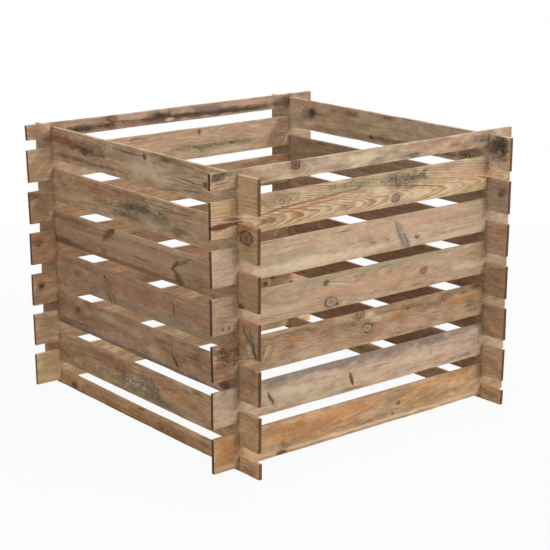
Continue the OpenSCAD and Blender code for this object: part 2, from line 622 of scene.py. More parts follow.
# Each board's marks. Later ones lie over earlier ones, and the knots over all others
MARKS = {}
MARKS["front_top_half_board"] = [
    Patch(CREAM, -30, 26, 130, 30, 0.6),
    Patch(CREAM, -440, 12, 70, 14, 0.4),
    Patch(ORANGE, -390, 24, 60, 22, 0.35),
    Patch(BROWN, -150, 10, 150, 12, 0.35, 0.5),
    Patch(RED, 260, 26, 300, 30, 0.2),
    Patch(BROWN, 190, 34, 200, 10, 0.3, 0.4),
    Patch(DARK_RED, -476, 28, 60, 30, 0.6, 0.3),
    Patch(BLACK, -476, 30, 50, 26, 0.8, 0.6),
    Patch(BLACK, -450, 36, 50, 12, 0.7, 0.6),
    Patch(RUST, -450, 12, 80, 16, 0.5, 0.4),
    Streak(DARK, -470, 15, 60, 4, 0.6, 4),
    Patch(MOULD, 385, 24, 90, 22, 0.75, 0.7),
    Patch(BLACK, 400, 18, 40, 12, 0.6, 0.6),
    Patch(DARK_GREEN, 137, 9, 46, 14, 0.9, 0.2),
    Patch(GREEN, 100, 30, 90, 12, 0.3, 0.2),
    Knot(-248, 32, 28, 24, DARK_KNOT),
]
MARKS["front_board_6"] = [
    Patch(CREAM, 30, 46, 60, 34, 0.5),
    Patch(CREAM, 240, 22, 200, 26, 0.3),
    Patch(PINK, 330, 56, 180, 40, 0.35),
    Patch(GREEN, -20, 72, 330, 34, 0.45, 0.3),
    Patch(MOULD, 118, 66, 160, 50, 0.6, 0.35),
    Patch(MOULD, 118, 66, 160, 48, 0.7, 0.85),
    Patch(MOULD, 60, 78, 90, 24, 0.7, 0.8),
    Patch(MOULD, 150, 70, 70, 26, 0.75, 0.7),
    Patch(MOULD, -55, 76, 190, 22, 0.7, 0.75),
    Patch(MOULD, -300, 70, 130, 38, 0.6, 0.75),
    Patch(MOULD, 240, 80, 160, 14, 0.5, 0.9),
    Patch(BROWN, -48, 62, 34, 12, 0.6, 0.3),
    Patch(BROWN, 32, 69, 12, 8, 0.8),
    Streak(DARK_RED, -290, 47, 150, 8, 0.7, 5),
    Streak(RUST, -150, 56, 220, 8, 0.75, 4),
    Streak(RUST, -210, 42, 240, 6, 0.6, 4),
    Streak(RUST, -90, 50, 160, 4, 0.5, 5),
    Patch(RUST, -88, 22, 70, 24, 0.4, 0.2),
    Patch(RUST, -6, 22, 34, 24, 0.5, 0.2),
    Patch(RUST, 232, 24, 50, 16, 0.45, 0.2),
    Patch(CREAM, -45, 22, 40, 20, 0.45, 0.2),
    Patch(CREAM, 150, 24, 110, 28, 0.5, 0.2),
    Patch(CREAM, -170, 20, 60, 16, 0.35, 0.2),
    Patch(DARK_RED, -326, 25, 60, 22, 0.7, 0.1),
    Patch(RUST, -244, 26, 50, 16, 0.5, 0.2),
    Knot(80, 21, 26, 20, PURPLE_KNOT, 0.9),
    Patch(YELLOW, -468, 68, 60, 40, 0.4),
    Streak(DARK_RED, -462, 30, 120, 15, 0.95, 2),
    Patch(DARK_RED, -480, 27, 50, 18, 0.9, 0.1),
    Patch(ORANGE, -480, 14, 50, 14, 0.4),
    Streak(RUST, -465, 52, 76, 3.0, 0.6, -2),
    Streak(DARK, -465, 60, 76, 2.4, 0.5, -2),
    Streak(DARK, -440, 42, 60, 7, 0.7, -8),
]
MARKS["front_board_5"] = [
    Patch(PINK, 120, 62, 700, 40, 0.35),
    Patch(CREAM, -200, 16, 520, 34, 0.55),
    Patch(CREAM, 300, 10, 300, 16, 0.35),
    Patch(GREEN, -250, 46, 200, 18, 0.3, 0.2),
    Patch(BROWN, 300, 58, 260, 22, 0.25, 0.2),
    Streak(DARK, -94, 77, 76, 2.6, 0.9, 1),
    Streak(MOULD, -330, 86, 90, 3.0, 0.5, 1),
    Streak(BLUE_GREY, 104, 38, 110, 26, 0.5, -60),
    Patch(BLUE_GREY, 114, 20, 64, 34, 0.6, 0.1, -62),
    Streak(MOULD, 94, 44, 80, 7, 0.35, -66),
    Streak(MOULD, 126, 16, 44, 6, 0.4, -64),
    Streak(CREAM, 110, 28, 50, 6, 0.25, -62),
    Patch(MOULD, 8, 32, 34, 9, 0.7, 0.5),
    Patch(MOULD, 54, 32, 18, 9, 0.75, 0.4),
    Knot(159, 23, 14, 8, DARK_KNOT, 0.9),
    Streak(DARK, 153, 30, 24, 3, 0.6, 70),
    Patch(MOULD, -380, 78, 40, 14, 0.5, 0.7),
]
MARKS["front_board_4"] = [
    Patch(GREEN, 60, 83, 540, 18, 0.5),
    Patch(PINK, -30, 46, 560, 32, 0.5),
    Patch(ORANGE, -40, 52, 420, 20, 0.12, 0.2),
    Patch(RED, -60, 40, 200, 16, 0.2, 0.3),
    Patch(CREAM, -300, 30, 240, 24, 0.3),
    Patch(CREAM, 360, 34, 160, 26, 0.35),
    Streak(GREEN, -185, 79, 90, 12, 0.9, -12),
    Streak(GREEN, -110, 64, 130, 11, 0.9, -10),
    Streak(LICHEN, -118, 64, 110, 4, 0.7, -10),
    Streak(GREEN, -80, 14, 90, 12, 0.7, -8),
    Streak(DARK_GREEN, 48, 80, 60, 4, 0.6, 3),
    Streak(DARK_GREEN, 70, 73, 50, 3, 0.5, 2),
    Streak(RUST, -92, 50, 50, 3, 0.5, -12),
    Knot(-150, 71, 17, 13, DARK_KNOT),
    Knot(-133, 18, 36, 26, GREY_KNOT),
    Patch(GREEN, -133, 18, 24, 16, 0.7, 0.3),
    Patch(BLACK, -150, 21, 12, 18, 0.9, 0.1),
    Patch(BLACK, -139, 29, 22, 7, 0.85, 0.1),
    Patch(BLACK, -129, 20, 10, 14, 0.85, 0.1),
    Patch(BLACK, -116, 11, 20, 9, 0.9, 0.1),
    Patch(BLACK, -142, 9, 16, 7, 0.8, 0.1),
    Knot(184, 46, 23, 16, KNOT_WOOD, 0.95),
    Patch(DARK, 176, 44, 8, 13, 0.75, 0.1),
    Patch(DARK, 190, 48, 11, 9, 0.75, 0.1),
    Patch(BROWN, 160, 13, 44, 10, 0.6, 0.3),
    Knot(-469, 12, 7, 6, BLACK_KNOT),
    Knot(-450, 13, 6, 5, BLACK_KNOT),
    Streak(RUST, -478, 34, 44, 4, 0.5, -14),
    Streak(RUST, -450, 28, 60, 4, 0.5, -20),
]
MARKS["front_board_3"] = [
    Patch(PINK, -30, 30, 700, 40, 0.3),
    Patch(CREAM, -6, 78, 64, 26, 0.6, 0.1),
    Patch(CREAM, 20, 60, 46, 20, 0.5, 0.2),
    Patch(BROWN, -150, 64, 300, 34, 0.35, 0.4),
    Patch(BROWN, 150, 66, 180, 36, 0.45, 0.4),
    Patch(BROWN, -60, 18, 260, 20, 0.35, 0.5),
    Patch(ORANGE, -244, 58, 70, 28, 0.4, 0.4),
    Patch(RUST, -240, 56, 50, 20, 0.4, 0.4),
    Patch(ORANGE, 76, 58, 90, 22, 0.4, 0.4),
    Patch(ORANGE, 150, 62, 70, 22, 0.3, 0.4),
    Patch(ORANGE, 330, 58, 120, 22, 0.45, 0.4),
    Patch(RUST, 320, 56, 180, 18, 0.5, 0.5),
    Patch(RUST, 60, 52, 220, 20, 0.4, 0.5),
    Patch(DARK, -120, 46, 200, 24, 0.4, 0.7),
    Patch(DARK, 180, 76, 200, 20, 0.4, 0.7),
    Patch(DARK, -20, 30, 160, 20, 0.35, 0.7),
    Streak(CREAM, 74, 28, 46, 5, 0.25, -50),
    Streak(CREAM, 88, 26, 46, 5, 0.2, -50),
    Streak(CREAM, -338, 44, 50, 6, 0.4, 62),
    Streak(DARK_GREEN, -350, 42, 60, 5, 0.6, 66),
    Streak(BROWN, -322, 42, 56, 5, 0.5, 70),
    Patch(BLACK, 380, 84, 44, 14, 0.8, 0.4),
    Patch(RUST, -462, 46, 80, 110, 0.5, 0.2),
    Patch(BLACK, -475, 68, 64, 34, 0.85, 0.6),
    Patch(DARK, -445, 56, 80, 50, 0.75, 0.7),
    Patch(DARK, -470, 26, 80, 30, 0.6, 0.7),
    Streak(DARK_RED, -470, 52, 60, 5, 0.7, -6),
    Streak(BLACK, -468, 60, 56, 5, 0.7, 8),
    Knot(-34, 84, 26, 20, PURPLE_KNOT),
    Knot(-10, 43, 34, 26, GREY_KNOT),
    Knot(269, 74, 28, 18, KNOT_WOOD, 0.7),
    Knot(131, 68, 7, 6, BLACK_KNOT),
]
MARKS["front_board_2"] = [
    Patch(BLUE_GREY, 0, 86, 1000, 28, 0.75, 0.1),
    Patch(BLUE_GREY, 240, 76, 150, 26, 0.55),
    Patch(BLUE_GREY, -300, 76, 110, 26, 0.5),
    Patch(BLUE_GREY, 60, 72, 420, 22, 0.35),
    Patch(CREAM, -260, 48, 200, 26, 0.5),
    Patch(CREAM, 180, 42, 260, 26, 0.4),
    Patch(CREAM, 405, 50, 40, 30, 0.5),
    Patch(PINK, 60, 34, 300, 26, 0.35),
    Patch(MOULD, -55, 7, 90, 10, 0.65, 0.3),
    Patch(MOULD, 330, 12, 110, 16, 0.65, 0.5),
    Patch(MOULD, -300, 7, 160, 8, 0.4, 0.5),
    Streak(RUST, -320, 33, 60, 20, 0.35, -55),
    Streak(DARK, -326, 40, 46, 9, 0.9, -58),
    Streak(RUST, -62, 32, 46, 16, 0.3, -66),
    Streak(DARK, -63, 33, 44, 11, 0.95, -66),
    Streak(DARK, 48, 49, 76, 2.4, 0.85),
    Patch(DARK, 219, 50, 8, 7, 0.7),
    Patch(DARK, 219, 43, 7, 6, 0.7),
]
MARKS["front_board_1"] = [
    Patch(ORANGE, -60, 50, 800, 80, 0.15, 0.3),
    Patch(ORANGE, -250, 58, 360, 60, 0.3, 0.3),
    Patch(ORANGE, -294, 44, 80, 18, 0.7, 0.2),
    Patch(RUST, -190, 52, 240, 40, 0.5, 0.6),
    Patch(RUST, -270, 66, 160, 24, 0.4, 0.6),
    Patch(ORANGE, -80, 66, 180, 40, 0.45, 0.3),
    Patch(CREAM, 10, 40, 130, 24, 0.35, 0.5),
    Patch(YELLOW, -465, 50, 90, 110, 0.4, 0.1),
    Patch(ORANGE, -465, 56, 80, 70, 0.5, 0.3),
    Patch(RUST, -465, 46, 80, 100, 0.6, 0.6),
    Patch(ORANGE, 300, 76, 280, 26, 0.4, 0.2),
    Patch(BROWN, 260, 34, 300, 30, 0.25, 0.4),
    Patch(CREAM, 0, 11, 1000, 10, 0.6),
    Patch(CREAM, -380, 24, 60, 20, 0.5),
    Patch(BLUE_GREY, 78, 66, 60, 36, 0.35, 0.1),
    Patch(GREEN, 55, 36, 60, 20, 0.5),
    Knot(102, 47, 13, 12, DARK_KNOT),
    Knot(82, 22, 9, 8, DARK_GREEN, 0.7),
    Knot(-293, 6, 30, 12, BLACK_KNOT),
]
MARKS["left_board_6"] = [
    Patch(CREAM, -40, 46, 190, 60, 0.75),
    Patch(CREAM, -110, 28, 130, 26, 0.5),
    Patch(RED, 350, 60, 420, 40, 0.55, 0.1),
    Patch(DARK_RED, 340, 58, 380, 26, 0.6, 0.2),
    Patch(DARK, 225, 47, 200, 24, 0.8, 0.3),
    Patch(YELLOW, -465, 40, 80, 120, 0.35),
    Patch(ORANGE, -455, 60, 60, 60, 0.25, 0.3),
    Patch(BROWN, 60, 58, 260, 20, 0.35, 0.3),
    Patch(DARK, 140, 18, 190, 12, 0.65, 0.4),
    Patch(DARK, 320, 20, 200, 14, 0.7, 0.4),
    Patch(DARK_RED, 260, 14, 240, 12, 0.4, 0.2),
    Patch(MOULD, -134, 80, 76, 18, 0.9, 0.25),
    Patch(DARK_GREEN, -210, 78, 90, 14, 0.6, 0.4),
    Patch(DARK_GREEN, -90, 84, 80, 10, 0.5, 0.4),
    Streak(DARK, 30, 73, 170, 3.6, 0.85),
    Streak(DARK, -240, 41, 130, 5, 0.75, 2),
    Streak(DARK, -200, 33, 180, 3.0, 0.5, 1),
    Streak(DARK, -250, 20, 140, 6, 0.5, -4),
    Streak(DARK_RED, -215, 26, 150, 4, 0.4, -3),
    Streak(DARK, -190, 10, 120, 4, 0.45, -2),
    Patch(BLACK, -298, 43, 26, 18, 0.85, 0.2),
    Knot(-39, 74, 17, 14, BLACK_KNOT),
    Knot(244, 45, 26, 18, DARK_KNOT),
]
MARKS["left_board_5"] = [
    Patch(RED, 180, 68, 420, 38, 0.4),
    Patch(GREEN, -60, 30, 420, 36, 0.35, 0.1),
    Patch(BROWN, -200, 24, 90, 26, 0.4, 0.4),
    Patch(DARK_GREEN, -104, 42, 90, 34, 0.75, 0.45),
    Patch(MOULD, 8, 42, 210, 40, 0.5, 0.3),
    Patch(MOULD, 10, 38, 230, 54, 0.85, 0.85),
    Patch(BLACK, 4, 48, 120, 18, 0.6, 0.65),
    Patch(BLACK, 62, 24, 120, 18, 0.65, 0.75),
    Patch(MOULD, -30, 54, 130, 18, 0.7, 0.75),
    Patch(MOULD, 140, 40, 190, 14, 0.7, 0.85),
    Patch(DARK_GREEN, -180, 24, 90, 26, 0.55, 0.6),
    Patch(LICHEN, -62, 28, 100, 36, 0.75, 0.9),
    Patch(LICHEN, 6, 36, 70, 22, 0.6, 1.0),
    Patch(LICHEN, 70, 34, 60, 14, 0.4, 1.0),
    Streak(DARK_RED, -40, 82, 400, 5, 0.5, -1.0),
    Streak(DARK_RED, -90, 73, 310, 5, 0.5, 1.5),
    Streak(DARK_RED, -150, 66, 190, 5, 0.45, -4),
    Streak(DARK_RED, 90, 76, 240, 4, 0.4, 2),
    Patch(DARK, -456, 62, 72, 42, 0.45, 0.3),
    Patch(DARK_RED, -452, 60, 50, 40, 0.5, 0.3),
    Knot(-458, 60, 46, 36),
    Patch(GREEN, -470, 16, 60, 22, 0.5, 0.2),
]
MARKS["left_board_4"] = [
    Patch(CREAM, -80, 84, 760, 14, 0.35),
    Patch(PINK, 60, 48, 800, 26, 0.6),
    Patch(DARK, 330, 76, 260, 22, 0.4, 0.1),
    Patch(DARK, 400, 8, 300, 32, 0.75, 0.1),
    Patch(BROWN, 0, 6, 900, 18, 0.65),
    Patch(BROWN, -250, 22, 160, 26, 0.35),
    Patch(BROWN, 250, 60, 200, 16, 0.3),
    Streak(DARK_GREEN, -204, 66, 80, 12, 0.6, -24),
    Streak(DARK_RED, -164, 49, 48, 14, 0.9, -38),
    Streak(DARK, -176, 20, 64, 20, 0.7, 44),
    Streak(BROWN, -190, 16, 50, 22, 0.6, 40),
    Patch(RED, 122, 82, 30, 16, 0.6),
    Streak(BROWN, 138, 71, 90, 30, 0.7, -36),
    Streak(DARK, 138, 72, 66, 12, 0.5, -36),
    Patch(DARK, 118, 84, 24, 16, 0.7, 0.2),
    Patch(DARK_GREEN, 164, 20, 34, 16, 0.6, 0.4),
    Patch(GREEN, 206, 12, 44, 14, 0.6, 0.3),
    Streak(DARK_RED, -12, 36, 90, 3.4, 0.9, 2),
    Streak(RED, 245, 42, 70, 3.2, 0.8, 1),
    Streak(DARK, -262, 30, 60, 2.6, 0.5, 6),
    Knot(-436, 3, 22, 14, BLACK_KNOT),
]
MARKS["left_board_3"] = [
    Patch(RED, 0, 56, 620, 40, 0.3),
    Patch(RUST, 300, 74, 240, 20, 0.4, 0.1),
    Patch(GREEN, -120, 11, 560, 20, 0.5, 0.2),
    Patch(GREEN, 400, 38, 110, 22, 0.5, 0.3),
    Patch(GREEN, -145, 40, 40, 20, 0.45, 0.3),
    Patch(RED, 303, 47, 46, 30, 0.75, 0.1),
    Patch(BROWN, 140, 30, 80, 44, 0.45, 0.3, 48),
    Streak(DARK, 148, 54, 60, 8, 0.55, 40),
    Streak(DARK, 128, 28, 66, 7, 0.7, 50),
    Streak(YELLOW, 136, 40, 60, 6, 0.5, 46),
    Streak(DARK, 142, 14, 40, 8, 0.75, 55),
    Streak(DARK, -157, 45, 46, 5, 0.95, 84),
    Streak(DARK, -146, 65, 34, 3, 0.7, 6),
    Patch(GREEN, -480, 44, 50, 70, 0.7, 0.3),
    Patch(LICHEN, -472, 20, 40, 34, 0.6, 1.0),
    Streak(BLACK, -450, 58, 56, 10, 0.6, 68),
    Streak(BLACK, -466, 40, 60, 8, 0.6, 62),
    Streak(DARK_GREEN, -478, 36, 80, 16, 0.6, 70),
    Patch(LICHEN, -464, 26, 26, 24, 0.5, 0.6),
    Streak(BLACK, -486, 22, 44, 8, 0.8, 66),
    Knot(164, 66, 9, 8, BLACK_KNOT),
]
MARKS["left_board_2"] = [
    Patch(PINK, 0, 64, 170, 34, 0.5),
    Patch(CREAM, 150, 70, 110, 26, 0.4),
    Patch(PINK, 60, 32, 120, 26, 0.55),
    Patch(CREAM, -60, 34, 60, 26, 0.4),
    Patch(BROWN, 230, 40, 160, 50, 0.4),
    Patch(BROWN, 380, 60, 160, 50, 0.4, 0.1),
    Patch(BLUE_GREY, 0, 5, 900, 16, 0.7, 0.1),
    Patch(BLUE_GREY, 300, 12, 240, 26, 0.6, 0.1),
    Patch(DARK, 312, 22, 60, 14, 0.5, 0.4),
    Patch(PINK, -281, 46, 30, 16, 0.85),
    Knot(-281, 46, 14, 9, PINK, 0.5),
    Streak(DARK, -238, 57, 130, 2.6, 0.8),
    Streak(DARK, -146, 60, 60, 3, 0.7, 86),
    Streak(DARK, -160, 29, 44, 13, 0.9, 48),
    Knot(-366, 22, 36, 20, BLACK_KNOT),
    Knot(306, 59, 20, 15, DARK_KNOT, 0.8),
]
MARKS["left_board_1"] = [
    Patch(RED, 150, 64, 280, 44, 0.55, 0.15),
    Patch(DARK_RED, 120, 74, 150, 22, 0.4, 0.4),
    Patch(RED, 380, 40, 180, 40, 0.3, 0.2),
    Patch(ORANGE, -210, 48, 230, 18, 0.35, 0.2),
    Patch(RUST, -120, 62, 130, 16, 0.4, 0.3),
    Patch(GREEN, -150, 18, 240, 30, 0.5, 0.3),
    Patch(GREEN, 60, 24, 380, 40, 0.35, 0.1),
    Patch(DARK_GREEN, 10, 32, 230, 56, 0.5, 0.3),
    Patch(MOULD, 0, 42, 160, 50, 0.95, 0.7),
    Patch(MOULD, 60, 28, 150, 48, 0.85, 0.8),
    Patch(BLACK, 14, 30, 200, 56, 0.6, 0.95),
    Patch(MOULD, 90, 50, 90, 26, 0.75, 0.8),
    Patch(BLACK, -30, 48, 100, 26, 0.7, 0.7),
    Patch(DARK_GREEN, -100, 14, 90, 22, 0.7, 0.6),
    Patch(LICHEN, 36, 24, 170, 36, 0.95, 1.0),
    Patch(LICHEN, 14, 42, 140, 40, 0.95, 0.95),
    Patch(DARK, -245, 84, 50, 14, 0.6, 0.3),
    Patch(DARK_GREEN, -205, 76, 40, 14, 0.6, 0.5),
    Streak(DARK_RED, -135, 74, 26, 3, 0.7, 80),
    Streak(ORANGE, -456, 70, 60, 5, 0.4, -28),
]
MARKS["left_bottom_half_board"] = [
    Patch(RUST, -170, 20, 280, 30, 0.55, 0.2),
    Patch(RUST, 150, 14, 260, 16, 0.5, 0.3),
    Patch(DARK, -60, 10, 200, 12, 0.4, 0.5),
    Patch(DARK, -462, 20, 70, 40, 0.5, 0.7),
    Patch(BROWN, 0, 4, 900, 8, 0.5),
    Patch(ORANGE, -3, 28, 36, 18, 0.7),
    Patch(CREAM, 312, 30, 40, 16, 0.5),
    Patch(CREAM, -270, 36, 120, 10, 0.5),
    Patch(DARK, 0, 39, 50, 6, 0.6),
    Knot(341, 13, 30, 18, DARK_KNOT),
]
MARKS["back_top_half_board"] = [
    Patch(BROWN, -465, 20, 84, 60, 0.5, 0.1),
    Patch(BROWN, -130, 12, 640, 26, 0.6, 0.3),
    Patch(PINK, -60, 34, 300, 16, 0.4, 0.1),
    Patch(PINK, 240, 32, 240, 16, 0.6, 0.1),
    Patch(DARK, -300, 15, 170, 28, 0.85, 0.4),
    Patch(BLACK, -320, 13, 120, 18, 0.85, 0.4),
    Patch(DARK_RED, -232, 14, 44, 24, 0.8, 0.4),
    Patch(BLACK, -236, 16, 30, 12, 0.6, 0.4),
    Streak(DARK, -190, 22, 90, 4, 0.8, -3),
    Patch(RED, -130, 10, 110, 14, 0.5, 0.4),
    Patch(DARK, -140, 18, 150, 14, 0.75, 0.6),
    Patch(DARK, -64, 22, 130, 38, 0.85, 0.2),
    Patch(BLACK, -66, 24, 60, 20, 0.9, 0.3),
    Patch(DARK, 130, 15, 480, 24, 0.9, 0.2),
    Patch(BLACK, 40, 18, 150, 9, 0.8, 0.5),
    Patch(BLACK, 240, 12, 300, 13, 0.85, 0.35),
    Patch(BLUE_GREY, 106, 29, 110, 24, 0.8, 0.2),
    Patch(CREAM, -32, 10, 36, 12, 0.85, 0.3),
    Patch(PINK, 22, 6, 44, 10, 0.8, 0.3),
    Patch(PINK, 98, 6, 34, 9, 0.8, 0.3),
    Patch(PINK, 172, 5, 44, 8, 0.75, 0.3),
    Patch(BROWN, 380, 22, 110, 50, 0.6, 0.3),
    Patch(DARK, 385, 22, 90, 36, 0.75, 0.6),
    Knot(-226, 34, 30, 15),
    Patch(DARK_RED, -226, 35, 18, 7, 0.9, 0.1),
    Knot(400, 22, 22, 18, DARK_KNOT, 0.7),
]
MARKS["back_board_6"] = [
    Patch(PINK, 0, 64, 900, 30, 0.35),
    Patch(YELLOW, -465, 50, 80, 70, 0.5),
    Streak(CREAM, -458, 40, 90, 5, 0.5, 45),
    Patch(GREEN, 150, 30, 330, 34, 0.4, 0.2),
    Patch(CREAM, 200, 14, 300, 18, 0.4),
    Patch(MOULD, 90, 34, 260, 12, 0.95, 0.8),
    Patch(MOULD, 100, 24, 70, 26, 0.8, 0.7),
    Patch(MOULD, 220, 34, 120, 12, 0.85, 0.8),
    Patch(LICHEN, 108, 22, 36, 14, 0.5, 0.8),
    Streak(DARK_RED, -160, 80, 90, 4, 0.6, 3),
    Streak(RED, -140, 70, 120, 3, 0.5, -3),
    Knot(73, 78, 8, 11, DARK_KNOT),
]
MARKS["back_board_5"] = [
    Patch(GREEN, 60, 74, 300, 26, 0.3),
    Patch(BROWN, 245, 70, 90, 30, 0.4),
    Patch(BROWN, -470, 60, 70, 60, 0.45, 0.4),
    Patch(BLACK, -485, 80, 34, 22, 0.6, 0.5),
]
MARKS["back_board_4"] = [
    Patch(ORANGE, -465, 74, 80, 22, 0.35),
    Patch(ORANGE, -380, 50, 300, 50, 0.25),
    Patch(RED, -480, 62, 40, 34, 0.4),
    Knot(-482, 62, 24, 20, KNOT_WOOD, 0.6),
]
MARKS["back_board_3"] = [
    Patch(RUST, -150, 62, 240, 34, 0.35, 0.3),
    Patch(BLUE_GREY, -478, 58, 34, 30, 0.6, 0.1),
    Knot(-474, 54, 15, 13, BLACK_KNOT, 0.8),
]
MARKS["back_board_2"] = [
    Patch(GREEN, -465, 60, 80, 40, 0.3),
    Patch(PINK, 250, 50, 400, 50, 0.3),
    Streak(DARK, -462, 52, 60, 2.4, 0.4, 3),
    Knot(345, 52, 13, 11, BLACK_KNOT),
    Knot(318, 36, 15, 12, BLACK_KNOT, 0.8),
]
MARKS["back_board_1"] = [
    Patch(YELLOW, -460, 44, 120, 80, 0.3),
    Knot(-120, 40, 20, 16),
]
MARKS["right_board_6"] = [
    Patch(MOULD, -30, 82, 60, 14, 0.7, 0.5),
    Patch(MOULD, 125, 72, 76, 18, 0.8, 0.4),
    Patch(BLUE_GREY, 255, 56, 90, 16, 0.6, 0.2),
    Patch(BLUE_GREY, 305, 55, 60, 50, 0.8, 0.1),
    Patch(BLACK, 305, 55, 34, 32, 0.9, 0.1),
    Patch(YELLOW, 100, 40, 500, 60, 0.2, 0.2),
    Patch(DARK, 0, 18, 160, 14, 0.5, 0.6),
    Patch(BLUE_GREY, 330, 46, 60, 40, 0.5, 0.1),
    Patch(BROWN, 0, 14, 700, 22, 0.4, 0.3),
    Patch(DARK, 130, 44, 200, 24, 0.3, 0.4),
    Patch(BLACK, -200, 16, 420, 26, 0.8, 0.75),
    Patch(DARK, -360, 30, 120, 40, 0.7, 0.4),
    Patch(BLACK, -460, 58, 80, 66, 0.95, 0.55),
    Patch(BLACK, -470, 72, 60, 34, 0.9, 0.3),
    Patch(MOULD, -455, 50, 80, 80, 0.5, 0.3),
    Patch(DARK, -450, 60, 80, 60, 0.5, 0.2),
    Patch(BLACK, -482, 66, 30, 40, 0.6, 0.4),
    Knot(-462, 45, 18, 16, GREY_KNOT, 0.7),
    Knot(40, 17, 15, 9, BLACK_KNOT),
]
MARKS["right_board_5"] = [
    Patch(BLACK, 262, 82, 60, 10, 0.7, 0.5),
    Patch(BROWN, 100, 40, 600, 34, 0.3),
    Patch(GREEN, -465, 24, 80, 30, 0.5, 0.2),
    Patch(BLACK, -478, 58, 46, 26, 0.75, 0.2, -38),
    Patch(BLUE_GREY, -460, 66, 60, 30, 0.5, 0.1, -30),
]
MARKS["right_board_4"] = [
    Streak(BROWN, -462, 60, 74, 4, 0.5, -3),
    Streak(BROWN, -462, 30, 74, 3, 0.4, -3),
    Knot(60, 60, 16, 12, DARK_KNOT),
]
MARKS["right_board_3"] = [
    Patch(DARK_GREEN, -460, 54, 90, 30, 0.28, 0.2),
    Patch(BROWN, 150, 46, 500, 40, 0.3, 0.2),
]
MARKS["right_board_2"] = [
    Patch(ORANGE, -460, 30, 80, 18, 0.35),
    Knot(-60, 34, 18, 14, DARK_KNOT),
]
MARKS["right_board_1"] = [
    Patch(RED, -460, 44, 90, 34, 0.4),
    Streak(BROWN, -462, 70, 70, 4, 0.4, 2),
]
MARKS["right_bottom_half_board"] = [
    Patch(MOULD, -456, 22, 70, 22, 0.6, 0.7),
    Patch(BROWN, 100, 20, 600, 26, 0.3),
]

# Painted shade: deep in the crib the wood is painted darker and redder, for the shade that falls there.
# How much, on the walls whose insides the photograph shows, from the lowest board up, and where along each
# board
INSIDE_SHADE_AMOUNTS = {"right": (0.6, 0.5, 0.45, 0.35, 0.15), "back": (0.3, 0.25, 0.23, 0.17, 0.07)}
INSIDE_SHADE_ALONG = {"right": 0, "back": 40}
for wall, amounts in INSIDE_SHADE_AMOUNTS.items():
    for course, amount in enumerate(amounts, 1):
        painted_inside_shade = Patch(INSIDE_SHADE, INSIDE_SHADE_ALONG[wall], 45, 860, 260, amount)
        MARKS["%s_board_%d" % (wall, course)].insert(0, painted_inside_shade)


def other_side(name, board_height):
    """Marks for the face that is turned away, drawn at random from those that such boards have."""
    draw = random.Random(name)
    marks = []
    for stain in draw.sample([MOULD, GREEN, PINK, CREAM, ORANGE, BLUE_GREY, BROWN], 3):
        width = draw.uniform(120, 420)
        height = draw.uniform(0.2, 0.5) * board_height
        place = (draw.uniform(-420, 420), draw.uniform(0.1, 0.9) * board_height)
        amount = draw.uniform(0.3, 0.6)
        speckle = 0.7 if stain == MOULD else 0.2
        marks.append(Patch(stain, *place, width, height, amount, speckle, draw.uniform(-4, 4), OTHER_SIDE))
    for _ in range(2):
        place = (draw.uniform(-460, 460), draw.uniform(0.15, 0.85) * board_height)
        length = draw.uniform(60, 160)
        marks.append(Streak(DARK, *place, length, 2.0, 0.6, draw.uniform(-2, 2), OTHER_SIDE))
    return marks


PINE = pine_group()
ROUND_KNOT = round_knot_group()
MARK_GROUPS = {Knot: knot_group(), Patch: patch_group(), Streak: streak_group()}
OUTSIDE = outside_group()

# A board's node and body, its box, and how far from its middle other boards cross it
Board = namedtuple("Board", "node body is_side low high crossing")


def board_directions(tree, board):
    """The place on the board in millimetres and the way its surface faces, in the board's own directions."""
    middle = (board.low + board.high) / 2 / MM
    turn = (0.0, 0.0, -math.pi / 2 if board.is_side else 0.0)
    shift = (0.0, middle.x if board.is_side else -middle.y, -board.low.z / MM)
    coordinates = add_node(tree, "ShaderNodeTexCoord")
    place = output_of(
        "ShaderNodeMapping",
        {
            "Vector": Field(coordinates.outputs["Object"]),
            "Location": shift,
            "Rotation": turn,
            "Scale": (1 / MM, 1 / MM, 1 / MM),
        },
    )
    normal = {"Vector": Field(coordinates.outputs["Normal"]), "Rotation": turn}
    return place, output_of("ShaderNodeMapping", normal, vector_type="VECTOR")


def placed(mark):
    """A mark's centre and reach."""
    return {"Centre": (mark.along, 0.0, mark.up), "Reach": (mark.width / 2, ANY_DEPTH, mark.height / 2)}


def mark_inputs(mark, seen_side):
    """What a mark's own node group takes."""
    inputs = placed(mark)
    if isinstance(mark, Knot):
        inputs["Heartwood"] = linear(mark.wood)
        inputs["Darkness"] = mark.darkness
        return inputs
    inputs["Stain"] = linear(mark.stain)
    inputs["Turn"] = math.radians(mark.turn)
    inputs["Amount"] = mark.amount
    inputs["Side"] = mark.side * seen_side
    if isinstance(mark, Patch):
        inputs["Speckle"] = mark.speckle
    return inputs


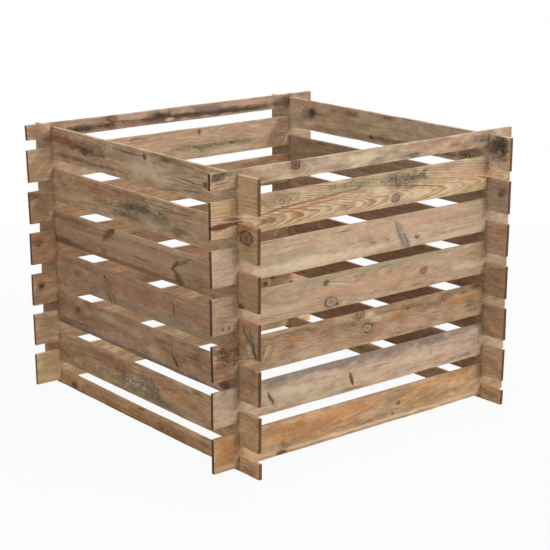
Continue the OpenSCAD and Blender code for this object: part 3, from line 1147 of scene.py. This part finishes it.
def board_material(board):
    """Weathered pine for one board, with the knots, stains and scars that are its own."""
    material = bpy.data.materials.new(board.node + "_wood")
    material.use_nodes = True
    tree = material.node_tree
    place, normal = board_directions(tree, board)
    board_height = (board.high.z - board.low.z) / MM
    # Which way through the board its seen face lies
    seen_side = 1.0 if board.is_side else -1.0
    knots = [mark for mark in MARKS[board.node] if isinstance(mark, Knot)]
    marks = [mark for mark in MARKS[board.node] if not isinstance(mark, Knot)]
    marks += other_side(board.node, board_height)
    grain = place
    for knot in knots:
        grain = use_group(ROUND_KNOT, {"Grain": grain, **placed(knot)})["Grain"]
    wood = WOOD[board.node]
    tone = linear(wood.tone)
    draw = random.Random(board.node)
    drawn_heart = (draw.uniform(-0.05, 0.05), draw.uniform(26, 70), draw.uniform(5, 85))
    pine = use_group(
        PINE,
        {
            "Grain": grain,
            "Heart": wood.heart or drawn_heart,
            "Drift": wood.drift,
            "Ring Width": wood.ring_width,
            "Figure": wood.figure,
            "Mottle": wood.mottle,
            "Wave": wood.wave,
            "Seed": draw.uniform(0, MOST_SEED),
            "Pale": toned(tone, PALE_WOOD),
            "Dark": toned(tone, wood.late),
        },
    )
    surface = {label: pine[label] for label in SURFACE}
    for mark in marks + knots:
        inputs = {**surface, "Place": place, **mark_inputs(mark, seen_side)}
        surface = use_group(MARK_GROUPS[type(mark)], inputs)
    surface = use_group(
        OUTSIDE,
        {
            **surface,
            "Place": place,
            "Normal": normal,
            "Board Height": board_height,
            "Half Thickness": BOARD_THICKNESS / 2 / MM,
            "Crossing": board.crossing / MM,
        },
    )
    bump = output_of("ShaderNodeBump", {"Height": surface["Relief"], "Strength": 0.7, "Distance": MM})
    look = {"Base Color": surface["Colour"], "Roughness": pine["Roughness"], "Normal": bump}
    set_inputs(tree.nodes["Principled BSDF"], {**look, "Specular IOR Level": 0.25})
    return material


# The boards


def list_boards():
    """Every board of the crib, with its place from the frame."""
    for body, nodes in frame["record"]["behaviour"]["bodies"].items():
        for node in nodes:
            is_side = node.startswith(("left", "right"))
            low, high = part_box(node)
            yield Board(node, body, is_side, low, high, CROSSING_ON_SIDE if is_side else CROSSING_ON_FRONT)


def plain_mesh(piece):
    """Puts what the piece's modifiers made in its own mesh, and takes the modifiers away."""
    bpy.context.view_layer.update()
    depsgraph = bpy.context.evaluated_depsgraph_get()
    mesh = bpy.data.meshes.new_from_object(piece.evaluated_get(depsgraph), depsgraph=depsgraph)
    piece.modifiers.clear()
    piece.data = mesh
    return mesh


def make_board(board, shape, material):
    """One board: the shape tree makes it, a bevel rounds it over, and its mesh goes to its place."""
    draw = random.Random(board.node + " shape")
    size = board.high - board.low
    values = {
        "Length": max(size.x, size.y),
        "Height": size.z,
        "Thickness": BOARD_THICKNESS,
        "Crossing": board.crossing,
        "Notch Width": NOTCH_WIDTH,
        "Notch Depth": NOTCH_DEPTH,
        "Notched Below": float("bottom" not in board.node),
        "Notched Above": float("top" not in board.node),
        "Cell": CELL,
        "Bow": MOST_BOW * draw.uniform(0.3, 1.0),
        "Edge Wander": MOST_EDGE_WANDER,
        "Low End Trim": MOST_END_TRIM * draw.uniform(0.0, 1.0),
        "High End Trim": MOST_END_TRIM * draw.uniform(0.0, 1.0),
        "Relief": FACE_RELIEF,
        "Seed": draw.uniform(0, MOST_SEED),
        "Wood": material,
    }
    piece = bpy.data.objects.new(board.node + "_weathered", bpy.data.meshes.new(board.node))
    bpy.context.scene.collection.objects.link(piece)
    modifier = piece.modifiers.new("shape", "NODES")
    modifier.node_group = shape
    for socket in shape.interface.items_tree:
        if socket.in_out == "INPUT":
            modifier[socket.identifier] = values[socket.name]
    bevel = piece.modifiers.new("arrises", "BEVEL")
    bevel.width = ARRIS
    bevel.segments = 2
    bevel.limit_method = "WEIGHT"
    bevel.harden_normals = True
    mesh = plain_mesh(piece)
    turn = Matrix.Rotation(math.pi / 2 if board.is_side else 0.0, 4, "Z")
    middle = (board.low + board.high) / 2
    mesh.transform(Matrix.Translation(Vector((middle.x, middle.y, board.low.z))) @ turn)
    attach(piece, board.body)
    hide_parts(board.node)
    return piece


def make_boards():
    shape = board_shape()
    for board in list_boards():
        piece = make_board(board, shape, board_material(board))


# The studio. Azimuths and elevations are in degrees, round from the front wall and up

CAMERA_PLACE = (-2.5156, -3.1865, 1.4434)
CAMERA_AZIMUTH = -38.58
CAMERA_ELEVATION = 15.29
CAMERA_ROLL = -0.12
SENSOR_WIDTH = 36.0
LENS = 100.0

# What the lamps stand round
LIT_MIDDLE = (0.0, 0.0, 0.4)
SUN_AZIMUTH = 13.0
SUN_ELEVATION = 18.0
SUN_DISTANCE = 4.0
SUN_STRENGTH = 0.75
SUN_ANGLE = 1.6
SOFT_BOX_DISTANCE = 4.5
SOFT_BOX_SIZE = 3.0
# Azimuth, elevation and watts
SOFT_BOXES = {
    "right_box": (35.0, 28.0, 60.0),
    "front_box": (0.0, 35.0, 45.0),
    "left_box": (-65.0, 25.0, 52.0),
    "back_box": (150.0, 30.0, 70.0),
    "overhead": (0.0, 85.0, 100.0),
}

FLOOR_SIZE = 24.0
FLOOR_DROP = 0.5 * MM
WHITE = (1.0, 1.0, 1.0, 1.0)
FLOOR_PAINT = (0.6, 0.6, 0.6, 1.0)
FILL_LIGHT = (0.12, 0.12, 0.12, 1.0)
# How white the camera sees the floor near the object, and how far from its middle it is all white
NEAR_WHITENESS = 0.93
NEAR_ENDS = 0.8
WHITE_FROM = 3.0


def direction(azimuth, elevation):
    """The way from the object to something seen at this azimuth and elevation."""
    around, up = math.radians(azimuth), math.radians(elevation)
    return Vector((math.sin(around) * math.cos(up), -math.cos(around) * math.cos(up), math.sin(up)))


def put_in_scene(name, data, place, azimuth, elevation, roll=0.0):
    """Puts a lamp or camera in the scene, turned towards the object from this azimuth and elevation."""
    made = bpy.data.objects.new(name, data)
    made.location = place
    made.rotation_mode = "QUATERNION"
    facing = (-direction(azimuth, elevation)).to_track_quat("-Z", "Y")
    made.rotation_quaternion = facing @ Quaternion((0.0, 0.0, 1.0), math.radians(roll))
    bpy.context.scene.collection.objects.link(made)
    return made


def add_camera():
    data = bpy.data.cameras.new("camera")
    data.sensor_width = SENSOR_WIDTH
    data.lens = LENS
    camera = put_in_scene("camera", data, CAMERA_PLACE, CAMERA_AZIMUTH, CAMERA_ELEVATION, CAMERA_ROLL)
    bpy.context.scene.camera = camera


def add_lamp(name, kind, azimuth, elevation, distance, energy):
    data = bpy.data.lights.new(name, kind)
    data.energy = energy
    place = direction(azimuth, elevation) * distance + Vector(LIT_MIDDLE)
    put_in_scene(name, data, place, azimuth, elevation)
    return data


def add_lights():
    sun = add_lamp("key", "SUN", SUN_AZIMUTH, SUN_ELEVATION, SUN_DISTANCE, SUN_STRENGTH)
    sun.angle = math.radians(SUN_ANGLE)
    for name, (azimuth, elevation, watts) in SOFT_BOXES.items():
        box = add_lamp(name, "AREA", azimuth, elevation, SOFT_BOX_DISTANCE, watts)
        box.shape = "SQUARE"
        box.size = SOFT_BOX_SIZE


def seen_by_camera(tree):
    """1 for rays that should meet a white background: the camera's, and what gloss or glass sends on."""
    path = add_node(tree, "ShaderNodeLightPath")
    rays = [Field(path.outputs[name]) for name in ("Is Camera Ray", "Is Glossy Ray", "Is Transmission Ray")]
    return rays[0].at_least(rays[1]).at_least(rays[2])


def add_world():
    world = bpy.data.worlds.new("studio")
    world.use_nodes = True
    tree = world.node_tree
    set_inputs(tree.nodes["Background"], {"Color": mixed(seen_by_camera(tree), FILL_LIGHT, WHITE)})
    bpy.context.scene.world = world


def add_floor():
    """A pale floor that the camera sees as almost white, with the object's shadow on it."""
    half = FLOOR_SIZE / 2
    mesh = bpy.data.meshes.new("floor")
    corners = [(-half, -half), (half, -half), (half, half), (-half, half)]
    mesh.from_pydata([(x, y, -FLOOR_DROP) for x, y in corners], [], [(0, 1, 2, 3)])
    floor = bpy.data.objects.new("floor", mesh)
    bpy.context.scene.collection.objects.link(floor)
    material = bpy.data.materials.new("floor")
    material.use_nodes = True
    tree = material.node_tree
    tree.nodes.remove(tree.nodes["Principled BSDF"])
    place = Field(add_node(tree, "ShaderNodeTexCoord").outputs["Object"])
    far = vector_maths("LENGTH", place).step(NEAR_ENDS, WHITE_FROM)
    whiteness = seen_by_camera(tree) * (NEAR_WHITENESS + (1 - NEAR_WHITENESS) * far)
    paint = add_node(tree, "ShaderNodeBsdfDiffuse", {"Color": FLOOR_PAINT})
    glow = add_node(tree, "ShaderNodeEmission", {"Color": WHITE, "Strength": 1.0})
    shaders = {0: whiteness, 1: Field(paint.outputs[0]), 2: Field(glow.outputs[0])}
    set_inputs(tree.nodes["Material Output"], {"Surface": output_of("ShaderNodeMixShader", shaders)})
    mesh.materials.append(material)


bpy.context.scene.view_settings.view_transform = "Standard"
add_camera()
add_lights()
add_world()
add_floor()
make_boards()
